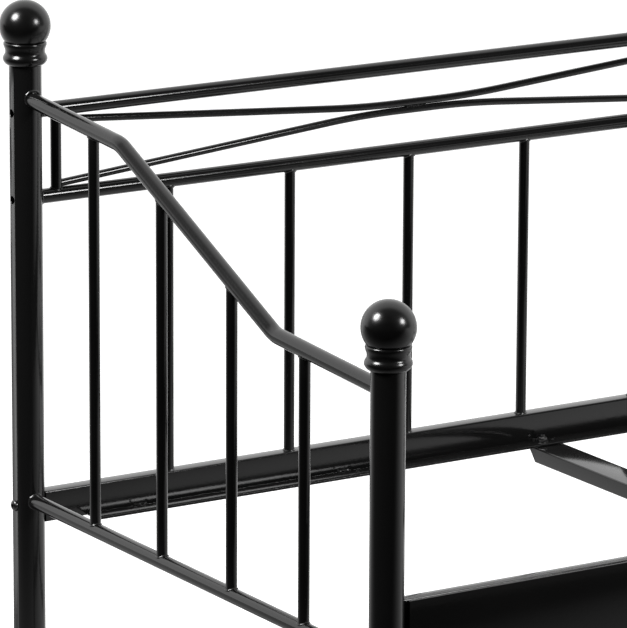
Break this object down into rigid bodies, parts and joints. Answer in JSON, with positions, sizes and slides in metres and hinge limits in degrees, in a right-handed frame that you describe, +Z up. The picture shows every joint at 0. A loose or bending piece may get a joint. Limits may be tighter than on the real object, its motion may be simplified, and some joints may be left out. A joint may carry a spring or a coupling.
{
  "type": "trundle bed",
  "caption": "Black metal daybed with ball-topped posts, sloping arm ends, a spindle back with wire hourglasses and a low trundle frame on wheels.",
  "frame": {"origin": "on the floor under the centre of the daybed", "axes": "+X along the bed to its right end, +Y towards the back panel, +Z up; the trundle rolls out towards -Y"},
  "size_m": [2.144, 0.84, 0.9985],
  "materials": {
    "powder_coat": "satin black powder coat on steel tube",
    "finial_plastic": "semi-gloss black moulded plastic",
    "glide_plastic": "matt black moulded plastic",
    "zinc_plate": "zinc-plated pressed steel",
    "wheel_rubber": "dark grey wheel with a soft tread"
  },
  "bodies": {
    "daybed": {"post_front_left": "powder_coat", "finial_front_left": "finial_plastic", "foot_glide_front_left": "glide_plastic", "post_back_left": "powder_coat", "finial_back_left": "finial_plastic", "foot_glide_back_left": "glide_plastic", "post_front_right": "powder_coat", "finial_front_right": "finial_plastic", "foot_glide_front_right": "glide_plastic", "post_back_right": "powder_coat", "finial_back_right": "finial_plastic", "foot_glide_back_right": "glide_plastic", "end_arm_tube_left": "powder_coat", "end_bottom_rail_left": "powder_coat", "end_spindle_left_1": "powder_coat", "end_spindle_left_2": "powder_coat", "end_spindle_left_3": "powder_coat", "end_spindle_left_4": "powder_coat", "end_arm_tube_right": "powder_coat", "end_bottom_rail_right": "powder_coat", "end_spindle_right_1": "powder_coat", "end_spindle_right_2": "powder_coat", "end_spindle_right_3": "powder_coat", "end_spindle_right_4": "powder_coat", "back_top_rail": "powder_coat", "back_mid_rail": "powder_coat", "back_rail": "powder_coat", "back_spindle_1": "powder_coat", "back_spindle_2": "powder_coat", "back_spindle_3": "powder_coat", "back_spindle_4": "powder_coat", "back_spindle_5": "powder_coat", "back_spindle_6": "powder_coat", "back_spindle_7": "powder_coat", "back_spindle_8": "powder_coat", "back_spindle_9": "powder_coat", "back_spindle_10": "powder_coat", "back_spindle_11": "powder_coat", "back_upright_left": "powder_coat", "back_upright_centre": "powder_coat", "back_upright_right": "powder_coat", "back_wire_pair_left": "powder_coat", "back_wire_pair_right": "powder_coat", "front_rail": "powder_coat", "cross_tube_left": "powder_coat", "cross_tube_right": "powder_coat"},
    "trundle": {"trundle_front_rail": "powder_coat", "trundle_back_rail": "powder_coat", "trundle_end_rail_left": "powder_coat", "trundle_end_rail_right": "powder_coat", "trundle_cross_tube_left": "powder_coat", "trundle_cross_tube_right": "powder_coat", "caster_bracket_front_left": "zinc_plate", "caster_bracket_back_left": "zinc_plate", "caster_bracket_front_right": "zinc_plate", "caster_bracket_back_right": "zinc_plate"},
    "wheel_front_left": {"caster_wheel_front_left": "wheel_rubber"},
    "wheel_back_left": {"caster_wheel_back_left": "wheel_rubber"},
    "wheel_front_right": {"caster_wheel_front_right": "wheel_rubber"},
    "wheel_back_right": {"caster_wheel_back_right": "wheel_rubber"}
  },
  "joints": [
    {"name": "trundle_roll_out", "type": "slide", "parent": "daybed", "child": "trundle", "axis": [0, -1, 0], "range_m": [0, 0.82]},
    {"name": "wheel_front_left_spin", "type": "hinge", "parent": "trundle", "child": "wheel_front_left", "pos_m": [-0.935, -0.39, 0.025], "axis": [1, 0, 0], "continuous": true},
    {"name": "wheel_back_left_spin", "type": "hinge", "parent": "trundle", "child": "wheel_back_left", "pos_m": [-0.935, 0.37, 0.025], "axis": [1, 0, 0], "continuous": true},
    {"name": "wheel_front_right_spin", "type": "hinge", "parent": "trundle", "child": "wheel_front_right", "pos_m": [0.935, -0.39, 0.025], "axis": [1, 0, 0], "continuous": true},
    {"name": "wheel_back_right_spin", "type": "hinge", "parent": "trundle", "child": "wheel_back_right", "pos_m": [0.935, 0.37, 0.025], "axis": [1, 0, 0], "continuous": true}
  ]
}
